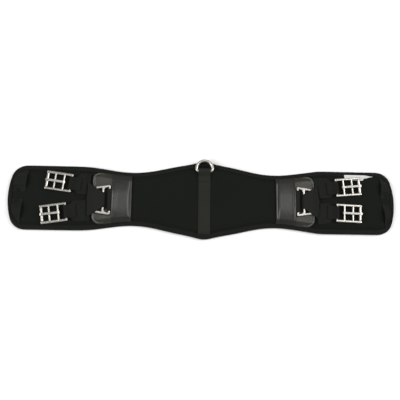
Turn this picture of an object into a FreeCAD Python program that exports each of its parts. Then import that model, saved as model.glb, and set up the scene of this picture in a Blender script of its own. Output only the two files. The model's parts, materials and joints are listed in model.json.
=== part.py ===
"""Dressage saddle girth: a padded band with two roller buckles at each end.

Frame, in millimetres: +X along the girth, +Y towards the edge that carries the dee ring,
+Z out of the face that is turned away from the horse. The origin is the middle of the
underside, where the padded lining rests on a flat surface.

The two ends are alike. Each is drawn as the right-hand end and mirrored for the left, and
each strap has its own small angle, because straps on a slack girth never lie quite square.
"""
import FreeCAD, Part
import math
import os

V = FreeCAD.Vector

# ---- padded band: outline in plan ----
HALF_LENGTH = 397.3
HALF_WIDTH_END = 66.0
END_RADIUS = 150.0          # gentle bow of each end
CORNER_RADIUS = 32.0
# half width of the band from its middle to the start of its straight wing
EDGE_POINTS = [(24.0, 76.2), (60.0, 69.0), (103.0, 59.5), (146.0, 55.1), (190.0, 59.0), (226.0, 64.3)]
HALF_WIDTH_MIDDLE = 80.8
WING_START = 262.0

# ---- padded band: layers ----
TAPE = 1.0                  # binding tape and outer fabric
BINDING_WIDTH = 9.0
EDGE_HEIGHT = 8.0           # over the binding
TOP = 11.0                  # over the padding
LINING = 1.6
COVER = 1.2
SLOPE_END = 17.0            # inset at which the padding reaches its full height
FIT = 0.1                   # gap between sewn layers

# ---- webbing and leather ----
PLY = 1.5
LEATHER = 1.4
GAP = 0.3                   # between pieces that move on each other

# ---- dee ring on the centre strap ----
STRAP_WIDTH = 25.0
RING_WIRE_R = 3.0
RING_HALF_WIDTH = 16.25     # to the wire's centre line
RING_LENGTH = 21.5          # straight bar to the top of the arc, on the centre line
RING_CORNER = 4.0
RING_PLAY = 0.5             # between the wire and the webbing round it
RING_BAR_Y = 59.5
EYE_LENGTH = 9.0            # from the bar to where the folded layers meet
TAB_END_Y = 38.5            # where the folded end of the strap is sewn down
STRAP_FOOT_Y = -70.5

# ---- leather patch, safe and anchor loop ----
PATCH_INNER_X = 148.0
PATCH_OUTER_X = 187.8
PATCH_HALF_HEIGHT = 47.5
SAFE_OUTER_X = 227.0
SAFE_CORNER = 18.0
SAFE_HALF_HEIGHT = 55.0
PATCH_HEM = 5.0             # flat edge of the patch inside its raised part
PATCH_LIP = 0.6             # outer edge of the patch, below the top of the webbing
LOOP_RISE = 10.0            # length over which webbing and patch climb to the slide's bar
ANCHOR_INNER_X = 152.0
ANCHOR_WIDTH = 46.0

# ---- three-bar slide ----
BAR_X = (192.0, 205.0, 218.0)
SLIDE_INNER_X = 190.0
SLIDE_OUTER_X = 220.0
SLIDE_HALF_WIDTHS = (31.0, 26.6)    # outside, at its inner and its outer end
SLIDE_SLOT_HALF_WIDTHS = (26.4, 22.0)
SLIDE_THICK = 4.0
SLIDE_CORNER = 3.0
SLIDE_EDGE = 1.2
SLOT_ROOTS = (7.0, 2.4)     # rounding where the middle and the outer bar spread into the sides
BAR_WIDTH = 4.0
LOOP_INNER_R = 2.6
LOOP_OUTER_R = LOOP_INNER_R + PLY
SLIDE_Z = TOP + LEATHER + FIT + LOOP_OUTER_R
# how far each end's slide and its webbing lie from the girth's centre line
HARNESS_Y = {"left": -4.5, "right": -1.0}

# ---- yoke: doubled webbing from the slide to the two straps ----
YOKE_HALF_WIDTH = 15.5
YOKE_NECK_HALF_WIDTH = 24.0 # over the slide's outer bar, which it hides
YOKE_END_HALF_WIDTH = 33.0
YOKE_SHOULDER_X = 222.5     # top layer starts down
YOKE_KNEE_X = 224.5         # bottom layer starts up
YOKE_LAP_X = 228.0          # both layers lie on the straps
YOKE_SPREAD_X = 231.0
YOKE_END_X = 234.0
YOKE_POINT_X = 237.0

# ---- elastic straps and chapes ----
ELASTIC_THICK = 2.6
ELASTIC_Z = TOP + GAP
YOKE_TAIL_Z = ELASTIC_Z + ELASTIC_THICK + 2 * FIT    # underside of the yoke, sewn on the elastic
ROOT_HALF_WIDTH = 21.5
CHAPE_HALF_WIDTH = 13.5
CHAPE_LAP = 20.0
CHAPE_STEP = 7.0            # from the bar to where the chape rises over the elastic's end
CHAPE_FALL = 9.0            # from the bar to where its top layer lies flat
ELASTIC_STOP = CHAPE_STEP + 0.2
TAPER = 8.0                 # where the elastic narrows to the chape
TAPER_HALF_WIDTH = 20.0
CHAPE_Z = ELASTIC_Z + LOOP_OUTER_R

# ---- roller buckle, along its own axis from the chape bar outwards ----
FRAME_END = 51.0
FRAME_TAIL = -2.6
FRAME_HALF_WIDTH = 19.0
FRAME_INNER_HALF_WIDTH = 14.2
FRAME_THICK = 4.4
FRAME_EDGE = 1.4
CHAPE_BAR_R = 2.0
TONGUE_BAR_U = 14.8
TONGUE_BAR_R = 2.3
MID_BAR_U = 32.6
MID_BAR_R = 2.2
ROLLER_U = 47.6
ROLLER_R = 3.0
ROLLER_EDGE = 0.6
ROLLER_PIN_R = 1.7
RUNNING = 0.05
TONGUE_WIDTH = 4.8
TONGUE_HUB_R = 4.0
TONGUE_TIP_U = 50.6
TONGUE_TIP_LENGTH = 2.5     # the tapered end
TONGUE_THICK = 2.1
TONGUE_TIP_THICK = 1.3
TONGUE_EDGE = 0.7

# name: end of the girth, strap root (x, y), chape bar (x, y), buckle angle outwards towards +Y
STRAPS = {
    "left_upper": (-1, (232.0, 27.0), (270.5, 28.5), 7.5),
    "left_lower": (-1, (232.0, -26.5), (278.3, -29.5), -8.5),
    "right_upper": (1, (232.0, 27.0), (274.0, 29.5), 5.0),
    "right_lower": (1, (232.0, -26.5), (274.0, -22.5), -2.5),
}

# ---- keepers for the billet ends ----
KEEPER_GAP = 4.8
KEEPER_FOOT = 6.0
KEEPER_RAMP = 3.0
KEEPER_OUTER_X = 389.0
KEEPER_INSET = 10.0
# name: end of the girth, inner edge x, (lowest y, highest y), slant in degrees
KEEPERS = {
    "left_upper": (-1, 358.5, (10.0, 56.0), -6.0),
    "left_lower": (-1, 366.5, (-54.0, -6.0), -6.0),
    "right_upper": (1, 367.0, (8.0, 54.0), 1.0),
    "right_lower": (1, 372.5, (-52.0, -3.0), -6.0),
}

LABEL_THICK = 0.6
LABEL_Z = TOP + 2 * FIT
LABEL_POINTS = [(293.0, 59.0), (333.0, 59.0), (353.0, 56.5), (334.0, 52.0), (334.0, 46.5), (293.0, 46.5)]

parts = {}


# ---- helpers ----
def wire_of(points, z=0.0):
    """A closed flat wire through plan points."""
    corners = [V(x, y, z) for x, y in points]
    return Part.makePolygon(corners + corners[:1])


def prism(points, z0, z1):
    return Part.Face(wire_of(points, z0)).extrude(V(0, 0, z1 - z0))


def side_profile(points, half_width):
    """A solid with its profile in the X-Z plane, spread evenly about Y = 0."""
    corners = [V(x, -half_width, z) for x, z in points]
    face = Part.Face(Part.makePolygon(corners + corners[:1]))
    return face.extrude(V(0, 2 * half_width, 0))


def cross_rod(x, z, radius, half_width):
    return Part.makeCylinder(radius, 2 * half_width, V(x, -half_width, z), V(0, 1, 0))


def mirrored(shape, end):
    """The right-hand shape itself, or its mirror image for the left-hand end."""
    return shape if end > 0 else shape.mirror(V(0, 0, 0), V(1, 0, 0))


def placed(shape, x, y, z, angle):
    """A shape drawn along +X from the origin, turned about Z and moved."""
    shape = shape.copy()
    shape.Placement = FreeCAD.Placement(V(x, y, z), FreeCAD.Rotation(V(0, 0, 1), angle))
    return shape


def rounded(shape, radius, wanted):
    """Round the edges for which wanted(edge) is true."""
    return shape.makeFillet(radius, [e for e in shape.Edges if wanted(e)])


# ---- the padded band ----
def edge_curve(points):
    """Smooth upper edge between the two straight wings."""
    curve = Part.BSplineCurve()
    curve.interpolate(Points=points, InitialTangent=V(1, 0, 0), FinalTangent=V(1, 0, 0))
    return curve


def upper_points():
    right = EDGE_POINTS + [(WING_START, HALF_WIDTH_END)]
    left = [(-x, y) for x, y in reversed(right)]
    return [V(x, y, 0) for x, y in left + [(0, HALF_WIDTH_MIDDLE)] + right]


UPPER_EDGE = edge_curve(upper_points())


def inset_point(point, inset):
    """The point moved into the band, square to the edge."""
    along = UPPER_EDGE.tangent(UPPER_EDGE.parameter(point))[0]
    return point + V(along.y, -along.x, 0) * inset


def band_inset(inset, z):
    """Closed outline at a distance inside the band's edge: two waists and rounded ends."""
    upper = edge_curve([inset_point(p, inset) for p in upper_points()]).toShape()
    half_width = HALF_WIDTH_END - inset
    corner_y = HALF_WIDTH_END - CORNER_RADIUS
    reach = math.sqrt((END_RADIUS - CORNER_RADIUS) ** 2 - corner_y ** 2)
    turn = math.atan2(corner_y, reach)
    middle = (turn + math.pi / 2) / 2
    centre_x = HALF_LENGTH - END_RADIUS
    end_radius, corner_radius = END_RADIUS - inset, CORNER_RADIUS - inset
    meet = (centre_x + end_radius * math.cos(turn), end_radius * math.sin(turn))
    corner_x = centre_x + reach
    bulge = (corner_x + corner_radius * math.cos(middle), corner_y + corner_radius * math.sin(middle))
    edges = [upper, upper.mirror(V(0, 0, 0), V(0, 1, 0))]
    for sx in (1, -1):
        tip = V(sx * (HALF_LENGTH - inset), 0, 0)
        edges.append(Part.Arc(V(sx * meet[0], meet[1], 0), tip, V(sx * meet[0], -meet[1], 0)).toShape())
        for sy in (1, -1):
            plan = ((WING_START, half_width), (corner_x, half_width), bulge, meet)
            side = [V(sx * x, sy * y, 0) for x, y in plan]
            edges.append(Part.LineSegment(side[0], side[1]).toShape())
            edges.append(Part.Arc(side[1], side[2], side[3]).toShape())
    wire = Part.Wire(Part.__sortEdges__(edges))
    wire.translate(V(0, 0, z))
    return wire


def band_slab(inset, z0, z1):
    return Part.Face(band_inset(inset, z0)).extrude(V(0, 0, z1 - z0))


def band_crown(low_inset, z0, high_inset, z1):
    """A slab whose sides lean in from one inset to another."""
    return Part.makeLoft([band_inset(low_inset, z0), band_inset(high_inset, z1)], True, True)


def make_band():
    inner = BINDING_WIDTH + FIT
    tape_top = EDGE_HEIGHT - TAPE
    lining = band_slab(inner, 0, LINING).fuse(band_slab(TAPE + FIT, TAPE, LINING))
    parts["lining"] = lining.removeSplitter()

    outside = band_slab(TAPE + FIT, LINING, tape_top)
    outside = outside.fuse(band_crown(inner, tape_top, SLOPE_END, TOP))
    core_edge = TAPE + FIT + COVER
    core = band_slab(core_edge, LINING, tape_top - COVER)
    core = core.fuse(band_crown(inner + COVER, tape_top - COVER, SLOPE_END + COVER, TOP - COVER))
    parts["foam_core"] = core.removeSplitter()
    parts["cover"] = outside.removeSplitter().cut(core)

    binding = band_slab(0, 0, EDGE_HEIGHT).cut(band_slab(TAPE, TAPE, tape_top))
    parts["edge_binding"] = binding.cut(band_slab(BINDING_WIDTH, -1, EDGE_HEIGHT + 1))


# ---- centre strap and its dee ring ----
RING_BAR_Z = TOP + PLY + RING_PLAY + RING_WIRE_R


def make_centre_strap():
    """Webbing down the middle of the band, folded back round the dee ring's straight bar."""
    bend_in = RING_WIRE_R + RING_PLAY
    bend_out = bend_in + PLY
    slope = 2 * math.atan(bend_in / EYE_LENGTH)
    full_y = HALF_WIDTH_MIDDLE - SLOPE_END
    drop = (abs(STRAP_FOOT_Y) - full_y) * (TOP - EDGE_HEIGHT + TAPE) / (SLOPE_END - BINDING_WIDTH)
    lap_y = RING_BAR_Y - EYE_LENGTH
    under = TOP + PLY

    def line(a, b):
        return Part.LineSegment(V(-STRAP_WIDTH / 2, *a), V(-STRAP_WIDTH / 2, *b)).toShape()

    def run(points):
        return [line(*pair) for pair in zip(points, points[1:])]

    def leave(radius):
        return (RING_BAR_Y - radius * math.sin(slope), RING_BAR_Z + radius * math.cos(slope))

    def bend(radius):
        points = [(RING_BAR_Y, RING_BAR_Z - radius), (RING_BAR_Y + radius, RING_BAR_Z), leave(radius)]
        return Part.Arc(*[V(-STRAP_WIDTH / 2, y, z) for y, z in points]).toShape()

    def across(edges):
        return Part.Face(Part.Wire(edges)).extrude(V(STRAP_WIDTH, 0, 0))

    foot = [(STRAP_FOOT_Y, under - drop), (STRAP_FOOT_Y, TOP - drop), (-full_y, TOP)]
    meet_y = lap_y - PLY * math.tan(slope / 2)
    back = [leave(bend_out), (meet_y, under + PLY), (TAB_END_Y, under + PLY)]
    back += [(TAB_END_Y, under), (-full_y, under), foot[0]]
    body = across(run(foot + [(RING_BAR_Y, RING_BAR_Z - bend_out)]) + [bend(bend_out)] + run(back))
    eye = [leave(bend_in), (lap_y, under), (RING_BAR_Y, RING_BAR_Z - bend_in)]
    parts["centre_strap"] = body.cut(across([bend(bend_in)] + run(eye)))


def make_ring():
    """Dee ring of round wire, swept in two halves from the middle of its straight bar."""
    arc_y = RING_BAR_Y + RING_LENGTH - RING_HALF_WIDTH
    halves = []
    for sx in (1, -1):
        corner = V(sx * (RING_HALF_WIDTH - RING_CORNER), RING_BAR_Y + RING_CORNER, RING_BAR_Z)
        slant = RING_CORNER * math.sqrt(0.5)
        rim = RING_HALF_WIDTH * math.sqrt(0.5)
        points = {
            "start": V(0, RING_BAR_Y, RING_BAR_Z),
            "bar": V(corner.x, RING_BAR_Y, RING_BAR_Z),
            "turn": corner + V(sx * slant, -slant, 0),
            "leg": V(sx * RING_HALF_WIDTH, corner.y, RING_BAR_Z),
            "rise": V(sx * RING_HALF_WIDTH, arc_y, RING_BAR_Z),
            "arc": V(sx * rim, arc_y + rim, RING_BAR_Z),
            "crown": V(0, arc_y + RING_HALF_WIDTH, RING_BAR_Z),
        }
        path = Part.Wire([
            Part.LineSegment(points["start"], points["bar"]).toShape(),
            Part.Arc(points["bar"], points["turn"], points["leg"]).toShape(),
            Part.LineSegment(points["leg"], points["rise"]).toShape(),
            Part.Arc(points["rise"], points["arc"], points["crown"]).toShape(),
        ])
        circle = Part.Circle(points["start"], V(sx, 0, 0), RING_WIRE_R)
        halves.append(path.makePipeShell([Part.Wire(circle.toShape())], True, False))
    parts["dee_ring"] = halves[0].fuse(halves[1]).removeSplitter()


# ---- leather, anchor loop, slide and yoke of one end ----
def make_anchor():
    """The webbing that comes out from under the patch and round the slide's inner bar."""
    low = SLIDE_Z - LOOP_OUTER_R
    tail = low + 2 * PLY
    bar = BAR_X[0]
    profile = [(ANCHOR_INNER_X, low), (bar, low), (bar, SLIDE_Z + LOOP_OUTER_R)]
    profile += [(bar - LOOP_RISE, tail), (ANCHOR_INNER_X, tail)]
    loop = side_profile(profile, ANCHOR_WIDTH / 2)
    loop = loop.fuse(cross_rod(bar, SLIDE_Z, LOOP_OUTER_R, ANCHOR_WIDTH / 2))
    return loop.removeSplitter().cut(cross_rod(bar, SLIDE_Z, LOOP_INNER_R, ANCHOR_WIDTH))


def make_safe():
    """Leather laid on the band to keep the metal off it."""
    length = SAFE_OUTER_X - PATCH_INNER_X
    blank = Part.makeBox(length, 2 * SAFE_HALF_HEIGHT, LEATHER, V(PATCH_INNER_X, -SAFE_HALF_HEIGHT, TOP))
    at_end = SAFE_OUTER_X - 0.01
    blank = rounded(blank, SAFE_CORNER, lambda e: e.BoundBox.ZLength > 1 and e.BoundBox.XMin > at_end)
    return blank.common(band_slab(BINDING_WIDTH + FIT, 0, TOP + LEATHER + 1))


def make_patch(shift):
    """Raised leather band, sewn down over the anchor webbing, which is off centre by shift."""
    base = TOP + LEATHER + FIT / 2
    over = SLIDE_Z - LOOP_OUTER_R + 2 * PLY + LEATHER
    knee = BAR_X[0] - LOOP_RISE
    lip = SLIDE_Z + LOOP_OUTER_R - PATCH_LIP
    profile = [(PATCH_INNER_X, base), (PATCH_OUTER_X, base), (PATCH_OUTER_X, lip), (knee, over)]
    profile += [(PATCH_INNER_X + PATCH_HEM, over), (PATCH_INNER_X, base + LEATHER)]
    patch = side_profile(profile, PATCH_HALF_HEIGHT)
    low = base - 1
    tail = SLIDE_Z - LOOP_OUTER_R + 2 * PLY + FIT
    pocket = [(ANCHOR_INNER_X - FIT, low), (PATCH_OUTER_X + 1, low)]
    slope = (SLIDE_Z + LOOP_OUTER_R + FIT - tail) / LOOP_RISE
    pocket += [(PATCH_OUTER_X + 1, tail + slope * (PATCH_OUTER_X + 1 - knee)), (knee, tail)]
    pocket += [(ANCHOR_INNER_X - FIT, tail)]
    webbing_space = side_profile(pocket, ANCHOR_WIDTH / 2 + FIT)
    webbing_space.translate(V(0, shift, 0))
    patch = patch.cut(webbing_space)
    return patch.common(band_slab(BINDING_WIDTH + 2 * FIT, 0, lip + 1))


def slide_width(x, widths):
    share = (x - SLIDE_INNER_X) / (SLIDE_OUTER_X - SLIDE_INNER_X)
    return widths[0] + share * (widths[1] - widths[0])


def make_slide():
    """Flat three-bar slide, narrower towards the straps, its bars rounded for webbing."""
    def outline(x0, x1, widths):
        a, b = slide_width(x0, widths), slide_width(x1, widths)
        return [(x0, -a), (x1, -b), (x1, b), (x0, a)]

    z0, z1 = SLIDE_Z - SLIDE_THICK / 2, SLIDE_Z + SLIDE_THICK / 2
    plate = prism(outline(SLIDE_INNER_X, SLIDE_OUTER_X, SLIDE_HALF_WIDTHS), z0, z1)
    plate = rounded(plate, SLIDE_CORNER, lambda e: e.BoundBox.ZLength > SLIDE_THICK / 2)
    half = BAR_WIDTH / 2
    for bar, following, root in zip(BAR_X, BAR_X[1:], SLOT_ROOTS):
        slot = prism(outline(bar + half, following - half, SLIDE_SLOT_HALF_WIDTHS), z0 - 1, z1 + 1)
        far = following - half - 0.1
        slot = rounded(slot, root, lambda e: e.BoundBox.ZLength > SLIDE_THICK and e.BoundBox.XMin > far)
        plate = plate.cut(slot)
    return rounded(plate, SLIDE_EDGE, lambda e: e.BoundBox.ZLength < 0.01)


def make_yoke():
    """Doubled webbing: round the middle bar, past the outer bar, then sewn to the straps."""
    high = SLIDE_Z + LOOP_OUTER_R
    low = SLIDE_Z - LOOP_OUTER_R
    bar = BAR_X[1]
    tail_top = YOKE_TAIL_Z + 2 * PLY
    outer = [(bar, low), (YOKE_KNEE_X, low), (YOKE_LAP_X, YOKE_TAIL_Z), (YOKE_POINT_X, YOKE_TAIL_Z)]
    outer += [(YOKE_POINT_X, tail_top), (YOKE_LAP_X, tail_top), (YOKE_SHOULDER_X, high), (bar, high)]
    inner = [(bar, low + PLY), (YOKE_KNEE_X - PLY, low + PLY), (YOKE_LAP_X - 2 * PLY, YOKE_TAIL_Z + PLY)]
    inner += [(YOKE_SHOULDER_X - PLY / 2, high - PLY), (bar, high - PLY)]
    yoke = side_profile(outer, YOKE_END_HALF_WIDTH)
    yoke = yoke.fuse(cross_rod(bar, SLIDE_Z, LOOP_OUTER_R, YOKE_END_HALF_WIDTH)).removeSplitter()
    hollow = side_profile(inner, HALF_WIDTH_END)
    hollow = hollow.fuse(cross_rod(bar, SLIDE_Z, LOOP_INNER_R, HALF_WIDTH_END)).removeSplitter()
    yoke = yoke.cut(hollow)
    end = YOKE_END_HALF_WIDTH
    plan = [(SLIDE_INNER_X, YOKE_HALF_WIDTH), (bar, YOKE_HALF_WIDTH), (BAR_X[2], YOKE_NECK_HALF_WIDTH)]
    plan += [(YOKE_SPREAD_X, end), (YOKE_END_X, end), (YOKE_POINT_X, 0)]
    plan += [(x, -y) for x, y in reversed(plan[:-1])]
    return yoke.common(prism(plan, 0, 2 * high))


# ---- one strap and its buckle ----
def make_elastic(root, chape, angle):
    """Flat elastic from under the yoke to the chape, narrowing just before it."""
    start, bar = V(*root, 0), V(*chape, 0)
    along = (bar - start).normalize()
    across = V(-along.y, along.x, 0)
    outwards = V(math.cos(math.radians(angle)), math.sin(math.radians(angle)), 0)
    end = bar - outwards * ELASTIC_STOP
    narrow = V(-outwards.y, outwards.x, 0) * (CHAPE_HALF_WIDTH + GAP)
    shoulder = end - outwards * TAPER
    wide, mid = across * ROOT_HALF_WIDTH, V(-outwards.y, outwards.x, 0) * TAPER_HALF_WIDTH
    corners = [start - wide, shoulder - mid, end - narrow, end + narrow, shoulder + mid, start + wide]
    return prism([(p.x, p.y) for p in corners], ELASTIC_Z, ELASTIC_Z + ELASTIC_THICK)


def make_chape():
    """Webbing folded round the buckle's end bar and sewn on top of the elastic."""
    low = -LOOP_OUTER_R
    seat = ELASTIC_THICK - LOOP_OUTER_R + FIT
    profile = [(0, low), (0, LOOP_OUTER_R), (-CHAPE_FALL, seat + PLY), (-CHAPE_LAP, seat + PLY)]
    profile += [(-CHAPE_LAP, seat), (-CHAPE_STEP, seat), (-CHAPE_STEP, low)]
    chape = side_profile(profile, CHAPE_HALF_WIDTH)
    chape = chape.fuse(cross_rod(0, 0, LOOP_OUTER_R, CHAPE_HALF_WIDTH)).removeSplitter()
    return chape.cut(cross_rod(0, 0, LOOP_INNER_R, HALF_WIDTH_END))


def make_frame():
    """Cast frame: two side bars, the end bar, tongue bar and middle bar, and the roller's pin."""
    half = FRAME_THICK / 2
    bar_width = FRAME_HALF_WIDTH - FRAME_INNER_HALF_WIDTH
    sides = []
    for y in (-FRAME_HALF_WIDTH, FRAME_INNER_HALF_WIDTH):
        side = Part.makeBox(FRAME_END - FRAME_TAIL, bar_width, FRAME_THICK, V(FRAME_TAIL, y, -half))
        sides.append(rounded(side, FRAME_EDGE, lambda e: True))
    reach = (FRAME_HALF_WIDTH + FRAME_INNER_HALF_WIDTH) / 2
    bars = {0: CHAPE_BAR_R, TONGUE_BAR_U: TONGUE_BAR_R, MID_BAR_U: MID_BAR_R, ROLLER_U: ROLLER_PIN_R}
    frame = sides[0].fuse([sides[1]] + [cross_rod(u, 0, r, reach) for u, r in bars.items()])
    return frame.removeSplitter()


def make_roller():
    half = FRAME_INNER_HALF_WIDTH - GAP
    roller = cross_rod(ROLLER_U, 0, ROLLER_R, half)
    roller = rounded(roller, ROLLER_EDGE, lambda e: e.BoundBox.YLength < 0.01)
    return roller.cut(cross_rod(ROLLER_U, 0, ROLLER_PIN_R + RUNNING, half + 1))


def make_tongue():
    """Flat tongue curled round its bar, its tip lying on the roller."""
    tip = ROLLER_R + FIT
    start = TONGUE_BAR_U
    profile = [(start, TONGUE_BAR_R), (TONGUE_TIP_U, tip), (TONGUE_TIP_U, tip + TONGUE_TIP_THICK)]
    profile += [(TONGUE_TIP_U - TONGUE_TIP_LENGTH, tip + TONGUE_THICK), (start, TONGUE_HUB_R)]
    tongue = side_profile(profile, TONGUE_WIDTH / 2)
    tongue = rounded(tongue, TONGUE_EDGE, lambda e: e.BoundBox.XLength > MID_BAR_U - start)
    tongue = tongue.fuse(cross_rod(start, 0, TONGUE_HUB_R, TONGUE_WIDTH / 2)).removeSplitter()
    return tongue.cut(cross_rod(start, 0, TONGUE_BAR_R + RUNNING, TONGUE_WIDTH))


# ---- keepers and label ----
def make_keeper(inner_x, span, slant):
    """Webbing sewn down at both ends and open between them, for a billet to slide through."""
    low, high = span
    z0 = TOP + FIT / 2
    lifted = z0 + KEEPER_GAP
    ys = [low, low + KEEPER_FOOT, low + KEEPER_FOOT + KEEPER_RAMP]
    ys += [high - KEEPER_FOOT - KEEPER_RAMP, high - KEEPER_FOOT, high]
    zs = [z0, z0, lifted, lifted, z0, z0]
    under = list(zip(ys, zs))
    over = [(y, z + PLY) for y, z in reversed(under)]
    corners = [V(inner_x, y, z) for y, z in under + over]
    strip = Part.Face(Part.makePolygon(corners + corners[:1])).extrude(V(KEEPER_OUTER_X - inner_x, 0, 0))
    strip.rotate(V(inner_x, (low + high) / 2, 0), V(0, 0, 1), -slant)
    return strip.common(band_slab(KEEPER_INSET, 0, lifted + 2 * PLY))


def make_label():
    """Blank sewn-in label with a pointed end."""
    return prism(LABEL_POINTS, LABEL_Z, LABEL_Z + LABEL_THICK)


def main():
    make_band()
    make_centre_strap()
    make_ring()
    parts["care_label"] = make_label()
    for end, side in ((-1, "left"), (1, "right")):
        shift = HARNESS_Y[side]
        parts[side + "_safe"] = mirrored(make_safe(), end)
        parts[side + "_patch"] = mirrored(make_patch(shift), end)
        for piece, make in {"anchor_loop": make_anchor, "slide": make_slide, "yoke": make_yoke}.items():
            parts[side + "_" + piece] = mirrored(placed(make(), 0, shift, 0, 0), end)
    buckle_pieces = {"chape": make_chape, "frame": make_frame, "tongue": make_tongue, "roller": make_roller}
    for name, (end, root, chape, angle) in STRAPS.items():
        parts[name + "_elastic"] = mirrored(make_elastic(root, chape, angle), end)
        for piece, make in buckle_pieces.items():
            parts[name + "_" + piece] = mirrored(placed(make(), *chape, CHAPE_Z, angle), end)
    for name, (end, inner_x, span, slant) in KEEPERS.items():
        parts[name + "_keeper"] = mirrored(make_keeper(inner_x, span, slant), end)

    os.makedirs("parts", exist_ok=True)
    for name, shape in parts.items():
        shape.exportStep("parts/" + name + ".step")
        box = shape.BoundBox
        print(name, len(shape.Solids), shape.isValid(), round(shape.Volume), "x", round(box.XMin, 1),
              round(box.XMax, 1), "y", round(box.YMin, 1), round(box.YMax, 1), "z", round(box.ZMin, 2),
              round(box.ZMax, 2))


main()
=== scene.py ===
"""Looks of the saddle girth: padded cover, bound edge, webbing, leather and steel.

Lengths are in millimetres, in the frame's axes, until a mesh is made. The two ends are
alike, so most functions take a side: -1 for the left end, 1 for the right.
"""
import bpy
import json
import math
import numpy as np
from mathutils import Matrix, Vector
from mathutils.geometry import delaunay_2d_cdt


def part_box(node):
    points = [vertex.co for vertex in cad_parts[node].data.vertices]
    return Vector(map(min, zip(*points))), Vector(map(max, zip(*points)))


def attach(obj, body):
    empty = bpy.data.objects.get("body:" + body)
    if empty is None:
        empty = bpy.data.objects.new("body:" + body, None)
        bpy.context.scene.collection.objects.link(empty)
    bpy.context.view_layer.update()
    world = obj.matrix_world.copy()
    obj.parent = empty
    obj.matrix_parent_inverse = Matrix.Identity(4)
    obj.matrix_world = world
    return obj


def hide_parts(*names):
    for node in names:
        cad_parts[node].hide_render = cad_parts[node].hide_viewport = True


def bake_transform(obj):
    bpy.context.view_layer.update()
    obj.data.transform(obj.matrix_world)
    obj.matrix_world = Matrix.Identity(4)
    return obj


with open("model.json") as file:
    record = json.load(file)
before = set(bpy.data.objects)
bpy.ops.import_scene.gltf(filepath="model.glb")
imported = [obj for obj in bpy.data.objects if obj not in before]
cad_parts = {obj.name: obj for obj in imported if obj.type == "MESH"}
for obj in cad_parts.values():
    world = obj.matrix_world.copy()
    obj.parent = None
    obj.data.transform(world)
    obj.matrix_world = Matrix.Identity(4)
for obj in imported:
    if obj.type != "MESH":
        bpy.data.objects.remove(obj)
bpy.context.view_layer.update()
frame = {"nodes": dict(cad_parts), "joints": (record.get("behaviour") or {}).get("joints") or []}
joints = {j["name"]: j for j in frame["joints"]}
MM = 0.001
SIDES = {"left": -1, "right": 1}
STRAPS = ("left_upper", "left_lower", "right_upper", "right_lower")


# ---- small helpers ----
def corners(node):
    """Lowest and highest corner of a CAD node, in millimetres."""
    low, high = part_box(node)
    return np.array(low) / MM, np.array(high) / MM


def smooth(t):
    t = np.clip(t, 0, 1)
    return t * t * (3 - 2 * t)


def unit(v):
    return v / np.maximum(np.linalg.norm(v, axis=-1, keepdims=True), 1e-9)


def make_piece(name, points, faces, material, body=None, replaces=()):
    """A smooth mesh piece from points in millimetres, riding on a body."""
    mesh = bpy.data.meshes.new(name)
    mesh.from_pydata([tuple(p) for p in np.asarray(points, float) * MM], [], faces)
    mesh.validate()
    mesh.shade_smooth()
    mesh.materials.append(material)
    piece = bpy.data.objects.new(name, mesh)
    bpy.context.scene.collection.objects.link(piece)
    if replaces:
        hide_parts(*replaces)
    if body:
        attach(piece, body)
    return piece


def grid_faces(rows, columns, wrap_columns=False, wrap_rows=False):
    """Quads over a grid of points stored row by row."""
    faces = []
    for i in range(rows if wrap_rows else rows - 1):
        for j in range(columns if wrap_columns else columns - 1):
            a, b = i * columns, (i + 1) % rows * columns
            k = (j + 1) % columns
            faces.append((a + j, a + k, b + k, b + j))
    return faces


# ---- outline of the band, read from the frame ----
OUTLINE_STEP = 1.8          # two steps to a stitch
TOP = corners("foam_core")[1][2] + 1.2


class Outline:
    """The band's edge, anticlockwise and evenly spaced, with its inward normals."""

    def __init__(self, node):
        mesh = frame["nodes"][node].data
        co = np.array([v.co for v in mesh.vertices]) / MM
        wall = set()
        for face in mesh.polygons:
            facing = face.normal[0] * face.center[0] + face.normal[1] * face.center[1]
            if abs(face.normal[2]) < 0.3 and facing > 0:
                wall.update(face.vertices)
        xy = np.unique(np.round(co[sorted(wall), :2], 3), axis=0)
        xy = xy[np.argsort(np.arctan2(xy[:, 1], xy[:, 0]))]
        xy = np.vstack([xy, xy[:1]])
        run = np.concatenate([[0], np.cumsum(np.linalg.norm(np.diff(xy, axis=0), axis=1))])
        count = 2 * round(run[-1] / OUTLINE_STEP / 2)
        at = np.linspace(0, run[-1], count, endpoint=False)
        even = np.column_stack([np.interp(at, run, xy[:, k]) for k in (0, 1)])
        for _ in range(6):
            even = 0.5 * even + 0.25 * (np.roll(even, 1, axis=0) + np.roll(even, -1, axis=0))
        self.points, self.count, self.step = even, count, run[-1] / count
        along = unit(np.roll(even, -1, axis=0) - np.roll(even, 1, axis=0))
        self.inward = np.column_stack([-along[:, 1], along[:, 0]])

    def ring(self, inset):
        return self.points + self.inward * inset

    def depth(self, xy):
        """How far inside the edge each point is, and where along the edge it is nearest."""
        xy = np.atleast_2d(xy)
        depth, where = np.empty(len(xy)), np.empty(len(xy))
        for start in range(0, len(xy), 2000):
            block = xy[start:start + 2000]
            gap = block[:, None] - self.points[None]
            nearest = (gap ** 2).sum(2).argmin(1)
            step = gap[np.arange(len(block)), nearest]
            depth[start:start + 2000] = (step * self.inward[nearest]).sum(1)
            where[start:start + 2000] = nearest * self.step
        return depth, where

    def half_width(self, x):
        """Half width of the band where its upper edge is at x."""
        upper = self.points[self.points[:, 1] > 0]
        upper = upper[np.argsort(upper[:, 0])]
        return np.interp(x, upper[:, 0], upper[:, 1])


edge = Outline("edge_binding")
BINDING = 9.0
SEAM_Z = 6.5                # the cover where it goes under the binding
SLOPE_END = 19.0            # inset at which the padding has its full height
PATCH_INNER = corners("right_patch")[0][0]
PATCH_OUTER = corners("right_patch")[1][0]


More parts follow.
